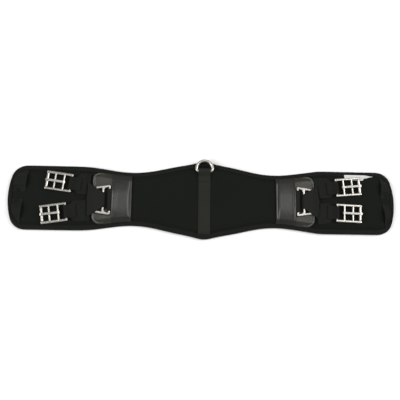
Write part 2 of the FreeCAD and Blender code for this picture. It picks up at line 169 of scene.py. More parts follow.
def pad_height(xy):
    """Top of the padded cover at plan points."""
    xy = np.atleast_2d(xy)
    inset, where = edge.depth(xy)
    x, y = np.abs(xy[:, 0]), xy[:, 1]
    z = SEAM_Z + (TOP - SEAM_Z) * smooth((inset - BINDING + 0.3) / (SLOPE_END - BINDING))
    pucker = np.sin(where / 1.9 + 2.2 * np.sin(where / 23)) + 0.6 * np.sin(where / 3.1 + 1)
    z += 0.16 * np.exp(-((inset - 12.5) / 3.5) ** 2) * pucker
    wing = smooth((x - 235) / 20) * smooth((inset - 14) / 10)
    ripple = np.sin(xy[:, 0] / 13 + np.sin(y / 19)) * np.cos(y / 11 + xy[:, 0] / 29)
    z += wing * (0.14 * ripple - 0.16)
    return z


# ---- materials ----
class Nodes:
    """Short names for the shader nodes that the materials are made from."""

    def __init__(self, name, base, roughness, metallic=0.0):
        self.material = bpy.data.materials.new(name)
        self.material.use_nodes = True
        self.tree = self.material.node_tree
        self.shader = self.tree.nodes["Principled BSDF"]
        self.shader.inputs["Base Color"].default_value = (*base, 1)
        self.shader.inputs["Roughness"].default_value = roughness
        self.shader.inputs["Metallic"].default_value = metallic
        self.place = self.tree.nodes.new("ShaderNodeTexCoord").outputs["Object"]

    def add(self, kind, inputs, **settings):
        node = self.tree.nodes.new("ShaderNode" + kind)
        for key, value in settings.items():
            setattr(node, key, value)
        for key, value in inputs.items():
            if isinstance(value, bpy.types.NodeSocket):
                self.tree.links.new(value, node.inputs[key])
            else:
                node.inputs[key].default_value = value
        return node

    def math(self, operation, a, b=0.0):
        return self.add("Math", {0: a, 1: b}, operation=operation).outputs[0]

    def stretched(self, scale, turn=0.0):
        """Object coordinates multiplied by a scale for each axis, after a turn about Z."""
        node = self.add("Mapping", {"Vector": self.place, "Scale": scale, "Rotation": (0, 0, turn)})
        return node.outputs[0]

    def noise(self, scale, detail=3.0, rough=0.55, vector=None):
        vector = vector or self.place
        node = self.add("TexNoise", {"Vector": vector, "Scale": scale, "Detail": detail, "Roughness": rough})
        return node.outputs["Fac"]

    def wave(self, scale, axis):
        inputs = {"Vector": self.place, "Scale": scale}
        node = self.add("TexWave", inputs, wave_type="BANDS", bands_direction=axis)
        return node.outputs["Fac"]

    def blend_range(self, value, low, high, from_low=0.0, from_high=1.0):
        inputs = {"Value": value, "From Min": from_low, "From Max": from_high, "To Min": low, "To Max": high}
        return self.add("MapRange", inputs).outputs[0]

    def mixed(self, factor, a, b):
        """Colour a where the factor is 0 and colour b where it is 1."""
        node = self.add("Mix", {"Factor": factor}, data_type="RGBA")
        for index, colour in ((6, a), (7, b)):
            if isinstance(colour, bpy.types.NodeSocket):
                self.tree.links.new(colour, node.inputs[index])
            else:
                node.inputs[index].default_value = (*colour, 1)
        return node.outputs[2]

    def relief(self, height, depth_mm, strength=1.0):
        """Bump from a height between 0 and 1."""
        node = self.add("Bump", {"Height": height, "Distance": depth_mm * MM, "Strength": strength})
        self.link(node.outputs[0], "Normal")

    def link(self, value, socket):
        self.tree.links.new(value, self.shader.inputs[socket])

    def constant(self, **values):
        for key, value in values.items():
            self.shader.inputs[key.replace("_", " ")].default_value = value


def tint(colour, factor):
    return tuple(c * factor for c in colour)


def fabric(name, colour, pitch, depth, sheen=0.04, fleck=0.35, roughness=0.85, gloss=0.12):
    """Plain weave: threads up and down by turns, with slubs, fading and a little lint."""
    m = Nodes(name, colour, roughness)
    per_metre = 1 / (pitch * MM) / 20 * math.pi
    warp = m.wave(per_metre, "X")
    weft = m.wave(per_metre, "Y")
    weave = m.math("MAXIMUM", m.math("MULTIPLY", warp, 0.9), weft)
    slub = m.noise(260, 2, vector=m.stretched((1, 6, 1)))
    height = m.math("ADD", m.math("MULTIPLY", weave, 0.75), m.math("MULTIPLY", slub, 0.25))
    m.relief(height, depth)
    patchy = m.noise(14, 4)
    worn = m.noise(900, 2)
    faded = m.mixed(m.blend_range(patchy, 0, 1, 0.3, 0.7), tint(colour, 0.82), tint(colour, 1.2))
    lint = m.mixed(m.blend_range(worn, 0, fleck, 0.55, 0.75), faded, tint(colour, 2.2))
    # the colour is darker between the raised threads than on them: a painted shade in the weave's hollows
    m.link(m.mixed(m.math("MULTIPLY", weave, 0.4), tint(colour, 0.7), lint), "Base Color")
    m.link(m.blend_range(slub, roughness - 0.08, roughness + 0.08, 0.3, 0.7), "Roughness")
    m.constant(Sheen_Weight=sheen, Sheen_Roughness=0.45, Specular_IOR_Level=gloss)
    return m.material


def leather(name, colour, roughness=0.34, painted_shade=None):
    """Fine pebbled grain with creases, and a lighter rub where the surface turns over.

    The last argument gives two distances from the girth's middle line, in millimetres: between them the
    colour goes from its own to a painted shade, and the surface turns rougher, the more so if the first is
    the larger.
    """
    m = Nodes(name, colour, roughness)
    grain = m.add("TexVoronoi", {"Vector": m.place, "Scale": 780.0}, feature="SMOOTH_F1").outputs["Distance"]
    crease = m.noise(120, 5, 0.6, m.stretched((1, 2.2, 1), 0.4))
    height = m.math("ADD", m.math("MULTIPLY", grain, 0.7), m.math("MULTIPLY", crease, 0.5))
    m.relief(height, 0.16)
    cloudy = m.noise(35, 4)
    body = m.mixed(m.blend_range(cloudy, 0, 1, 0.3, 0.7), tint(colour, 0.8), tint(colour, 1.25))
    point = m.add("NewGeometry", {}).outputs["Pointiness"]
    rub = m.blend_range(point, 0, 0.5, 0.52, 0.6)
    colour_out = m.mixed(rub, body, tint(colour, 2.6))
    rough_out = m.blend_range(cloudy, roughness - 0.07, roughness + 0.09, 0.3, 0.7)
    if painted_shade:
        unshaded_at, shaded_at = painted_shade
        across = m.math("ABSOLUTE", m.add("SeparateXYZ", {"Vector": m.place}).outputs["Y"])
        share = m.blend_range(across, *((0, 1) if unshaded_at < shaded_at else (1, 0)), min(painted_shade) * MM, max(painted_shade) * MM)
        # painted shade: between the two distances the colour darkens to a fifth of its own
        colour_out = m.mixed(share, colour_out, tint(colour, 0.2))
        rough_out = m.math("MAXIMUM", rough_out, m.math("MULTIPLY", share, 0.9 if unshaded_at > shaded_at else 0.55))
    m.link(colour_out, "Base Color")
    m.link(rough_out, "Roughness")
    return m.material


def steel(name, colour, roughness):
    """Polished plate with a fine brushed grain, handling marks, and a darker colour in its hollows."""
    m = Nodes(name, colour, roughness, metallic=1.0)
    brushed = m.noise(90, 3, 0.6, m.stretched((3, 40, 40)))
    marks = m.noise(420, 4, 0.7)
    m.relief(m.math("ADD", m.math("MULTIPLY", brushed, 0.6), m.math("MULTIPLY", marks, 0.4)), 0.03, 0.6)
    point = m.add("NewGeometry", {}).outputs["Pointiness"]
    hollow = m.blend_range(point, 1, 0, 0.42, 0.5)
    stain = m.blend_range(m.noise(60, 3), 0, 0.5, 0.45, 0.75)
    m.link(m.mixed(m.math("MAXIMUM", hollow, stain), colour, tint(colour, 0.62)), "Base Color")
    m.link(m.blend_range(marks, roughness - 0.06, roughness + 0.12, 0.3, 0.7), "Roughness")
    return m.material


COVER = fabric("cover_weave", (0.0070, 0.0086, 0.0064), 0.7, 0.10, sheen=0.02)
LINING = fabric("lining_knit", (0.0140, 0.0150, 0.0140), 1.1, 0.16, sheen=0.08)
TAPE = fabric("binding_weave", (0.0104, 0.0118, 0.0092), 0.8, 0.10)
WEBBING = fabric("webbing_weave", (0.0200, 0.0215, 0.0165), 0.9, 0.10, roughness=0.7)
YOKE_WEB = fabric("yoke_weave", (0.0130, 0.0140, 0.0112), 0.9, 0.10, roughness=0.7)
ELASTIC = fabric("elastic_weave", (0.0100, 0.0115, 0.0090), 0.7, 0.08, roughness=0.75)
THREAD = fabric("thread_twist", (0.0220, 0.0235, 0.0200), 0.4, 0.05, roughness=0.55)
SATIN = fabric("label_satin", (0.80, 0.82, 0.80), 0.35, 0.03, fleck=0.0, roughness=0.45, gloss=0.5)
# the patch leather darkens towards its ends, from 23 to 40 mm off the middle line: painted shade
LEATHER = leather("black_leather", (0.0200, 0.0200, 0.0162), painted_shade=(23, 40))
# the safe leather darkens within 22 to 25 mm of the middle line, under the slide and its webbing: painted
# shade
SAFE_LEATHER = leather("black_leather_shaded_under_slide", (0.0200, 0.0195, 0.0135), painted_shade=(25, 22))
# this edge leather is lighter than the other black leather: a painted highlight along the safe's rim
PIPING = leather("rolled_leather_edge_painted_highlight", (0.085, 0.084, 0.074), 0.28)
CHAPE_WEB = fabric("chape_weave", (0.0095, 0.0108, 0.0086), 0.9, 0.10, roughness=0.75)
STEEL = steel("nickel_steel", (0.485, 0.465, 0.425), 0.27)
WIRE = steel("ring_steel", (0.50, 0.485, 0.445), 0.30)


def foam_material():
    m = Nodes("cell_foam", (0.03, 0.03, 0.03), 0.9)
    cells = m.add("TexVoronoi", {"Vector": m.place, "Scale": 900.0}).outputs["Distance"]
    m.relief(cells, 0.4)
    m.link(m.mixed(m.noise(40), (0.022, 0.022, 0.022), (0.04, 0.04, 0.04)), "Base Color")
    return m.material


def paint_frame_node(node, material):
    data = frame["nodes"][node].data
    data.materials.clear()
    data.materials.append(material)


# ---- thread ----
STITCH_SIDES = 6


STITCH_SHARE = 0.72         # how much of its pitch a stitch fills
STITCH_SINK = 0.15          # how deep it lies, as a share of its radius


def stitch_row(name, points, normals, body, pitch, radius=0.34, closed=False):
    """Thread lying along a line of points: one short rounded stitch for each pitch."""
    points, normals = np.asarray(points, float), np.asarray(normals, float)
    if closed:
        points, normals = np.vstack([points, points[:1]]), np.vstack([normals, normals[:1]])
    run = np.concatenate([[0], np.cumsum(np.linalg.norm(np.diff(points, axis=0), axis=1))])
    count = max(1, round(run[-1] / pitch))
    step = run[-1] / count
    turn = np.arange(STITCH_SIDES) * 2 * math.pi / STITCH_SIDES
    # along the stitch: place from -1 to 1, thickness, and how far it dives into the cloth
    stations = ((-1.0, 0.35, -1.0), (-0.8, 0.85, -0.35), (-0.3, 1.0, 0.0),
                (0.3, 1.0, 0.0), (0.8, 0.85, -0.35), (1.0, 0.35, -1.0))
    verts, faces = [], []
    for k in range(count):
        ends = [(k + 0.5 + s * STITCH_SHARE / 2) * step for s in (-1, 1)]
        a, b = [np.array([np.interp(e, run, points[:, i]) for i in range(3)]) for e in ends]
        up = unit(np.array([np.interp((k + 0.5) * step, run, normals[:, i]) for i in range(3)]))
        along = unit(b - a)
        side = unit(np.cross(up, along))
        up = np.cross(along, side)
        first = len(verts)
        for place, thick, dive in stations:
            centre = (a + b) / 2 + (b - a) / 2 * place + up * (radius * (dive - STITCH_SINK))
            ring = np.outer(np.cos(turn), side) + np.outer(np.sin(turn), up)
            verts.extend(centre + ring * radius * thick)
        rows = len(stations)
        faces += [tuple(first + v for v in f) for f in grid_faces(rows, STITCH_SIDES, wrap_columns=True)]
        faces.append(tuple(first + v for v in reversed(range(STITCH_SIDES))))
        faces.append(tuple(first + (rows - 1) * STITCH_SIDES + v for v in range(STITCH_SIDES)))
    return make_piece(name, verts, faces, THREAD, body)


# ---- padded cover and lining ----
GRID = 4.0
RING_INSETS = (7.2, 9.2, 11.2, 13.4, 15.8, 18.6, 21.8)
STRAP_HALF = (corners("centre_strap")[1][0] - corners("centre_strap")[0][0]) / 2


def plan_mesh():
    """Triangles over the band inside its binding: rings that follow the edge, then an even field."""
    rings = [edge.ring(inset)[::2] for inset in RING_INSETS]
    outer = len(rings[0])
    low, high = rings[0].min(0), rings[0].max(0)
    rows = np.arange(low[1], high[1], GRID * math.sqrt(0.75))
    columns = np.arange(low[0], high[0], GRID)
    field = np.array([(x + (i % 2) * GRID / 2, y) for i, y in enumerate(rows) for x in columns])
    field = field[edge.depth(field)[0] > RING_INSETS[-1] + GRID * 0.6]
    points = np.vstack(rings + [field])
    border = [(i, (i + 1) % outer) for i in range(outer)]
    found = delaunay_2d_cdt([Vector(p) for p in points], border, [], 1, 1e-5)
    plan = np.array([tuple(v) for v in found[0]])
    return plan, [tuple(f) for f in found[2]]


COVER_THICK = 0.8
LINING_THICK = 1.1
PUFF_FRAMES = 20
PUFF_PRESSURE = 2.0
# outer limits on a point's rise and fall, past what the cloth does
PUFF_CAP = 2.4
PUFF_SINK = 0.6


def puff(cover, free):
    """Lets the fabric rise over the foam between its seams, and applies the result."""
    group = cover.vertex_groups.new(name="sewn")
    for i, share in enumerate(free):
        group.add([i], float(1 - share), "REPLACE")
    before = np.array([v.co for v in cover.data.vertices])
    cloth = cover.modifiers.new("cloth", "CLOTH")
    cloth.settings.quality = 6
    cloth.settings.mass = 0.3
    cloth.settings.tension_stiffness = 12
    cloth.settings.compression_stiffness = 12
    cloth.settings.bending_stiffness = 0.8
    cloth.settings.vertex_group_mass = "sewn"
    cloth.settings.use_pressure = True
    cloth.settings.uniform_pressure_force = PUFF_PRESSURE
    cloth.settings.effector_weights.gravity = 0
    cloth.collision_settings.use_collision = False
    cloth.point_cache.frame_start, cloth.point_cache.frame_end = 1, PUFF_FRAMES
    for number in range(1, PUFF_FRAMES + 1):
        bpy.context.scene.frame_set(number)
    shape = cover.evaluated_get(bpy.context.evaluated_depsgraph_get())
    after = np.array([v.co for v in shape.data.vertices])
    cover.modifiers.remove(cloth)
    bpy.context.scene.frame_set(1)
    move = np.clip((after - before)[:, 2], -PUFF_SINK * MM, PUFF_CAP * MM)
    before[:, 2] += move
    cover.data.vertices.foreach_set("co", before.ravel())


def thicken(points, faces, thickness):
    """A closed shell from an open sheet and the same sheet lowered, with a wall round its border."""
    count = len(points)
    below = points - np.array([0, 0, thickness])
    used = {}
    for f in faces:
        for a, b in zip(f, f[1:] + f[:1]):
            used[(a, b)] = True
    walls = [(b, a, a + count, b + count) for a, b in used if (b, a) not in used]
    under = [tuple(v + count for v in reversed(f)) for f in faces]
    return np.vstack([points, below]), list(faces) + under + walls


def make_cover():
    plan, faces = plan_mesh()
    inset = edge.depth(plan)[0]
    x = np.abs(plan[:, 0])
    top = np.column_stack([plan, pad_height(plan)])
    sheet = make_piece("padded_cover", top, faces, COVER)
    free = smooth((inset - 10) / 6)
    free = free * smooth((x - STRAP_HALF - 1.5) / 5) * smooth((PATCH_INNER - 1 - x) / 6)
    puff(sheet, free)
    top = np.array([v.co for v in sheet.data.vertices]) / MM
    bpy.data.objects.remove(sheet)
    points, shell = thicken(top, faces, COVER_THICK)
    cover = make_piece("padded_cover", points, shell, COVER, "band", ["cover"])

    under = 1.05 * (1 - smooth((inset - 8.6) / 3.5)) + 0.02
    points, shell = thicken(np.column_stack([plan, under + LINING_THICK]), faces, LINING_THICK)
    lining = make_piece("padded_lining", points, shell, LINING, "band", ["lining"])
    return top


# outside of the folded tape from its lower inner edge round to its upper inner edge, then its inside:
# (inset, height, how deep the stitch holes pull it in)
BINDING_SECTION = (
    (9.0, 1.05, 0), (8.7, 0.45, 0), (8.0, 0.2, 0.1), (7.2, 0.4, 0.25), (6.2, 0.12, 0.1),
    (4.2, 0.0, 0), (2.4, 0.1, 0), (1.0, 0.8, 0), (0.2, 2.3, 0), (0.0, 4.0, 0),
    (0.2, 5.7, 0), (1.0, 7.1, 0), (2.2, 7.9, 0), (3.8, 8.2, 0),
    (5.2, 8.1, 0), (6.4, 7.8, -0.15), (7.2, 7.45, -0.35), (8.0, 7.65, -0.15), (8.7, 7.5, 0), (9.05, 7.0, 0),
    (8.7, 6.6, 0), (7.2, 6.5, 0), (4.2, 7.1, 0), (2.2, 6.7, 0), (1.2, 5.3, 0), (1.0, 4.0, 0), (1.2, 2.6, 0),
    (2.2, 1.3, 0), (4.2, 1.0, 0), (8.6, 1.2, 0),
)
BINDING_SEAM = 7.2


def make_binding():
    """Tape folded over the whole edge, pulled in at each stitch hole, with a row of thread on each face."""
    wander = 0.12 * np.sin(np.arange(edge.count) * edge.step / 21 + 1.3)
    holes = np.cos(np.arange(edge.count) * math.pi)
    rows = []
    for inset, height, pull in BINDING_SECTION:
        shift = wander if inset > 5 else 0 * wander
        ring = edge.points + edge.inward * (inset + shift)[:, None]
        rows.append(np.column_stack([ring, height + pull * (0.5 + 0.5 * holes)]))
    points = np.stack(rows, axis=1).reshape(-1, 3)
    faces = grid_faces(edge.count, len(BINDING_SECTION), wrap_columns=True, wrap_rows=True)
    make_piece("bound_edge", points, faces, TAPE, "band", ["edge_binding"])
    seam = edge.points + edge.inward * (BINDING_SEAM + wander)[:, None]
    up = np.tile([0.0, 0.0, 1.0], (edge.count, 1))
    for name, height, sign in (("top", 7.75, 1), ("under", 0.36, -1)):
        line = np.column_stack([seam, np.full(edge.count, height)])
        row = "binding_stitches_" + name
        stitch_row(row, line, up * sign, "band", 2 * edge.step, closed=True)


# ---- flat woven strips ----
EASE = 5
THREAD_PITCH = 1.6


def resample(lines, spacing):
    """Several lines resampled together at even steps of their mean line, with kinks eased."""
    lines = [np.asarray(line, float) for line in lines]
    middle = sum(lines) / len(lines)
    run = np.concatenate([[0], np.cumsum(np.linalg.norm(np.diff(middle, axis=0), axis=1))])
    count = max(4, round(run[-1] / spacing) + 1)
    at = np.linspace(0, run[-1], count)
    made = []
    for line in lines:
        line = np.column_stack([np.interp(at, run, line[:, k]) for k in range(3)])
        for _ in range(EASE):
            line[1:-1] = 0.5 * line[1:-1] + 0.25 * (line[:-2] + line[2:])
        made.append(line)
    return made, at


def strip(name, left, right, thick, material, slot, body=None, replaces=(), relief=0.10,
          plain=True, point=(0, 0), pitch=THREAD_PITCH, crown=0.0):
    """A woven strap between two edge lines, with rounded selvages and its weave in relief.

    point pushes the middle of each end out, for an end cut to a point.
    """
    (left, right), run = resample((left, right), pitch / 4)
    middle, across = (left + right) / 2, (right - left) / 2
    half = np.linalg.norm(across, axis=1)
    tangent = unit(np.gradient(middle, axis=0))
    normal = unit(np.cross(across, tangent))
    columns = 2 * max(5, round(half.max() / pitch)) + 1
    v = np.sin(np.linspace(-1, 1, columns) * math.pi / 2 * 0.86) / math.sin(math.pi / 2 * 0.86)
    edge_room = (1 - np.abs(v)) * half.mean() / (thick / 2)
    round_off = np.sqrt(1 - (1 - np.clip(edge_room, 0, 1)) ** 2)
    selvage = 1 + 0.12 * np.exp(-((edge_room - 1.6) / 0.9) ** 2)
    height = thick / 2 * round_off * selvage
    phase = np.pi * (np.arange(columns) % 2) if plain else np.zeros(columns)
    weave = relief * np.cos(run[:, None] / pitch * 2 * math.pi + phase) * round_off * (edge_room > 1.0)
    ends = point[1] * smooth((run - run[-1] + 14) / 14) - point[0] * smooth((14 - run) / 14)
    push = ends[:, None, None] * (1 - np.abs(v))[None, :, None] * tangent[:, None]
    sheet = middle[:, None] + across[:, None] * v[None, :, None] + push
    bulge = crown * (1 - v ** 2)
    top = sheet + normal[:, None] * (height + weave + bulge)[:, :, None]
    bottom = sheet - normal[:, None] * (height - bulge)[None, :, None]
    bottom = bottom[:, ::-1][:, 1:-1]
    points = np.concatenate([top, bottom], axis=1)
    around = points.shape[1]
    faces = grid_faces(len(run), around, wrap_columns=True)
    for row, flip in ((0, False), (len(run) - 1, True)):
        for j in range(columns - 1):
            low = (around - j) % around
            cap = [j, j + 1, around - j - 1, low]
            cap = [row * around + k for k in dict.fromkeys(cap)]
            faces.append(tuple(reversed(cap)) if not flip else tuple(cap))
    faces = [tuple(reversed(f)) for f in faces]
    return make_piece(name, points.reshape(-1, 3), faces, material, body, replaces)


def arc(centre, radius, start, end, steps=14):
    """Points (across, up) on an arc, angles in degrees, the first and last included."""
    return [(centre[0] + radius * math.cos(math.radians(a)), centre[1] + radius * math.sin(math.radians(a)))
            for a in np.linspace(start, end, steps)]


def stitched_box(name, plan, height, body):
    """A box of stitches with a cross in it, over plan corners given in order."""
    legs = [(k, (k + 1) % 4) for k in range(4)] + [(0, 2), (1, 3)]
    plan = np.asarray(plan, float)
    for number, (a, b) in enumerate(legs):
        line = np.linspace(plan[a], plan[b], 12)
        line = np.column_stack([line, np.full(len(line), height)])
        up = np.tile([0.0, 0.0, 1.0], (len(line), 1))
        stitch_row(f"{name}_{number + 1}", line, up, body, pitch=2.9, radius=0.3)


STRAP_THICK = 1.5
EYE_LENGTH = 9.0
TAB_LENGTH = 21.0


def make_centre_strap():
    """25 mm webbing: from its foot under the lower edge, up to the ring, round its bar and back."""
    foot = corners("centre_strap")[0][1]
    ring_low, ring_high = corners("dee_ring")
    wire = (ring_high[2] - ring_low[2]) / 2
    bar = np.array([ring_low[1] + wire, (ring_low[2] + ring_high[2]) / 2])
    thick = STRAP_THICK
    bend = bar[1] - TOP - thick / 2
    slope = 2 * math.degrees(math.atan((bend - thick / 2) / EYE_LENGTH))
    lay = TOP + thick / 2
    path = [(foot + out, float(pad_height((0, foot + out))[0]) + above)
            for out, above in ((0, 0.6), (5, 0.75))]
    path += [(y, lay) for y in np.linspace(foot + 13, bar[0] - 1, 12)]
    path += arc(bar, bend, -90, 90 + slope)
    end = bar[0] - TAB_LENGTH
    meet = bar[0] - EYE_LENGTH - 0.6
    path += [(meet, lay + thick), (end, lay + thick)]
    left = [(-STRAP_HALF, y, z) for y, z in path]
    right = [(STRAP_HALF, y, z) for y, z in path]
    strip("webbing_centre_strap", right, left, thick, WEBBING, "webbing", "band", ["centre_strap"])
    inner = STRAP_HALF - 2.4
    top = lay + thick * 1.5
    box = [(-inner, end + 2), (inner, end + 2), (inner, meet - 1), (-inner, meet - 1)]
    stitched_box("strap_tab_stitches", box, top, "band")
    for sx in (-1, 1):
        ys = np.linspace(foot + 2, end - 2, 60)
        line = np.column_stack([np.full(60, sx * inner), ys, np.full(60, lay + thick / 2)])
        line[:, 2] = np.minimum(line[:, 2], pad_height(line[:, :2]) + thick)
        up = np.tile([0.0, 0.0, 1.0], (60, 1))
        stitch_row("strap_side_stitches_" + ("left" if sx < 0 else "right"), line, up, "band", 3.2)


# ---- leather at each end ----
def shell_from_grid(name, top, thick, material, body, replaces=()):
    """A leather piece from a grid of top points, its cut edges eased over."""
    rows, columns = top.shape[:2]
    du, dv = np.gradient(top, axis=0), np.gradient(top, axis=1)
    normal = unit(np.cross(du, dv))
    if normal[..., 2].mean() < 0:
        normal = -normal
    border = np.zeros((rows, columns), bool)
    border[[0, -1], :] = True
    border[:, [0, -1]] = True
    ease = np.where(border, 0.3 * thick, 0.0)[..., None]
    upper = (top - normal * ease).reshape(-1, 3)
    lower = (top - normal * (thick - ease)).reshape(-1, 3)
    count = rows * columns
    faces = grid_faces(rows, columns)
    loop = list(range(columns))
    loop += [i * columns + columns - 1 for i in range(1, rows)]
    loop += [(rows - 1) * columns + j for j in range(columns - 2, -1, -1)]
    loop += [i * columns for i in range(rows - 2, 0, -1)]
    under = [tuple(v + count for v in reversed(f)) for f in faces]
    walls = [(b, a, a + count, b + count) for a, b in zip(loop, loop[1:] + loop[:1])]
    points = np.vstack([upper, lower])
    a, b, c = (points[list(faces[len(faces) // 2])][k] for k in (0, 1, 2))
    all_faces = faces + under + walls
    if np.cross(b - a, c - a)[2] < 0:
        all_faces = [tuple(reversed(f)) for f in all_faces]
    return make_piece(name, points, all_faces, material, body, replaces)


SAFE_CORNER = 18.0
HIDE = 1.4


RIM_RISE = 2.3
HEM = 3.4


def safe_limit(x, outer):
    """How far from the middle line the safe reaches at x, tucked under the binding and rounded outside."""
    reach = edge.half_width(x) - BINDING + 0.6
    over = np.clip(x - (outer - SAFE_CORNER), 0, SAFE_CORNER)
    return reach - (SAFE_CORNER - np.sqrt(np.maximum(SAFE_CORNER ** 2 - over ** 2, 0)))


def make_safe(side, sx):
    """Leather under the slide, its free edge turned and standing a little proud."""
    low, high = corners(side + "_safe")
    inner, outer = min(abs(low[0]), abs(high[0])), max(abs(low[0]), abs(high[0]))
    rim_xs = outer - 6 * (1 - np.linspace(0, 1, 12)[1:] ** 0.7)
    xs = np.concatenate([np.linspace(inner, outer - 6, 34), rim_xs])
    limit = safe_limit(xs, outer)
    vs = np.sin(np.linspace(-1, 1, 67) * math.pi / 2 * 0.8) / math.sin(math.pi / 2 * 0.8)
    x = np.repeat(xs[:, None], len(vs), 1)
    y = limit[:, None] * vs
    free = np.minimum(outer - x, 60)
    rounded = np.where(x > outer - SAFE_CORNER - 4, limit[:, None] - np.abs(y), 60)
    from_edge = np.minimum(free, rounded)
    z = pad_height(np.column_stack([x.ravel() * sx, y.ravel()])).reshape(x.shape) + HIDE
    z += RIM_RISE * np.exp(-((from_edge - 1.8) / 1.7) ** 2) * smooth((np.abs(y) - 22) / 5)
    swell = smooth((np.abs(y) - 28) / 14) * smooth((x - 196) / 16)
    z += 0.5 * swell * smooth((limit[:, None] - np.abs(y)) / 8)
    top = np.stack([x * sx, y, z], axis=-1)
    shell_from_grid(side + "_leather_safe", top, HIDE, SAFE_LEATHER, "band", [side + "_safe"])
    make_piping(side, sx, outer)
    stretch = np.linspace(inner + 44, outer - 3.6, 50)
    for tag, sy in (("upper", 1), ("lower", -1)):
        rim = np.column_stack([stretch * sx, sy * (safe_limit(stretch + 1.0, outer) - 3.4)])
        line = np.column_stack([rim, pad_height(rim) + HIDE + 0.1])
        up = np.tile([0.0, 0.0, 1.0], (len(line), 1))
        stitch_row(f"{side}_safe_stitches_{tag}", line, up, "band", 3.0, radius=0.3)


TUBE_SIDES = 10
PIPING_R = 0.85
PIPING_INSET = 1.7
PIPING_START = 29.0         # distance from the middle line where the rolled edge starts


def tube(name, points, radius, material, body):
    """A round cord through a line of points, its ends tapered shut."""
    points = np.asarray(points, float)
    along = unit(np.gradient(points, axis=0))
    side = unit(np.cross(along, [0.0, 0.0, 1.0]))
    up = np.cross(side, along)
    sides = TUBE_SIDES
    turn = np.arange(sides) * 2 * math.pi / sides
    taper = np.ones(len(points))
    taper[[0, 1, -2, -1]] = (0.3, 0.75, 0.75, 0.3)
    rings = side[:, None] * np.cos(turn)[None, :, None] + up[:, None] * np.sin(turn)[None, :, None]
    verts = (points[:, None] + rings * (radius * taper)[:, None, None]).reshape(-1, 3)
    faces = [tuple(reversed(f)) for f in grid_faces(len(points), sides, wrap_columns=True)]
    faces += [tuple(range(sides)), tuple(reversed(range((len(points) - 1) * sides, len(points) * sides)))]
    return make_piece(name, verts, faces, material, body)


def make_piping(side, sx, outer):
    """Rolled leather edge round the safe's two free corners, in a lighter leather that paints a highlight
    along the rim.
    """
    for tag, sy in (("upper", 1), ("lower", -1)):
        corner_y = float(safe_limit(outer - SAFE_CORNER, outer)) - SAFE_CORNER
        line = [(outer - PIPING_INSET, y) for y in np.linspace(PIPING_START, corner_y, 8)]
        for a in np.radians(np.linspace(8, 78, 20)):
            x = outer - SAFE_CORNER + (SAFE_CORNER - PIPING_INSET) * math.cos(a)
            line.append((x, corner_y + (SAFE_CORNER - PIPING_INSET) * math.sin(a)))
        line = np.array(line) * (sx, sy)
        line = np.column_stack([line, pad_height(line) + HIDE + RIM_RISE - 0.2])
        tube(f"{side}_safe_piping_{tag}", line, PIPING_R, PIPING, "band")


# the webbing under the leather lifts it, and it falls away to the edges between these distances
WEB_RISE = 2.6
BAR_RISE = 2.4
PATCH_CROWN = 1.5
PATCH_FALL_START = 12.0
PATCH_FALL_END = 50.0
# where the grid is finer across the patch: up to the first, and from the second to the third
PATCH_STATIONS = (5, 34.8, 39.8)


def patch_top(x, y, shift, sx):
    """Height of the raised leather band at distances x from the girth's middle."""
    base = pad_height(np.column_stack([np.ravel(x) * sx, np.ravel(y)])).reshape(np.shape(x)) + 2 * HIDE + 0.1
    off = np.abs(y - shift)
    bed = smooth((PATCH_FALL_END - off) / (PATCH_FALL_END - PATCH_FALL_START))
    lift = WEB_RISE + BAR_RISE * smooth((x - PATCH_OUTER + 12) / 12)
    crown = PATCH_CROWN * np.clip(1 - (off / PATCH_FALL_END) ** 2, 0, 1)
    rise = smooth((x - PATCH_INNER - 1.5) / 7)
    from_edge = np.minimum(x - PATCH_INNER, PATCH_OUTER - x)
    hem = 0.55 * np.exp(-((from_edge - 1.2) / 1.1) ** 2) - 0.40 * np.exp(-((from_edge - HEM) / 0.8) ** 2)
    return base + rise * (lift * bed + crown) + hem


def make_patch(side, sx, shift):
    """Raised leather over the anchor webbing, hemmed along both long edges."""
    inner_hem, outer_hem, width = PATCH_STATIONS
    xs = [np.linspace(0, inner_hem, 12), np.linspace(inner_hem, outer_hem, 22)[1:]]
    xs.append(np.linspace(outer_hem, width, 12)[1:])
    xs = PATCH_INNER + np.concatenate(xs) * (PATCH_OUTER - PATCH_INNER) / width
    reach = edge.half_width(xs) - BINDING + 0.9
    vs = np.linspace(-1, 1, 65)
    x = np.repeat(xs[:, None], len(vs), 1)
    y = reach[:, None] * vs
    top = np.stack([x * sx, y, patch_top(x, y, shift, sx)], axis=-1)
    shell_from_grid(side + "_leather_patch", top, HIDE, LEATHER, "band", [side + "_patch"])
    for tag, at in (("inner", PATCH_INNER + HEM), ("outer", PATCH_OUTER - HEM)):
        ys = np.linspace(-1, 1, 80) * (float(edge.half_width(at)) - BINDING - 1)
        line = np.column_stack([np.full(80, at * sx), ys, patch_top(np.full(80, at), ys, shift, sx) + 0.1])
        slope = unit(np.gradient(line, axis=0))
        up = unit(np.cross(np.tile([1.0, 0, 0], (80, 1)), slope))
        stitch_row(f"{side}_patch_stitches_{tag}", line, up, "band", 3.2, radius=0.32)


# ---- slide webbing ----
BAR_STEP = 13.0
WEB = 1.5
LOOP_R = 2.6 + WEB / 2
ANCHOR_HALF = 22.8


def slide_place(side):
    """Inner bar's distance from the middle, the webbing's sideways shift, and the bars' height."""
    pos = np.array(joints[side + "_harness_lift"]["pos_m"]) / MM
    return abs(pos[0]), pos[1], pos[2]


def loop_edges(path, half_widths, shift, sx):
    """Left and right edge lines from a side path (distance out, height) and its half widths."""
    path = np.asarray(path, float)
    a = [(sx * x, shift + w, z) for (x, z), w in zip(path, half_widths)]
    b = [(sx * x, shift - w, z) for (x, z), w in zip(path, half_widths)]
    return (a, b) if sx > 0 else (b, a)


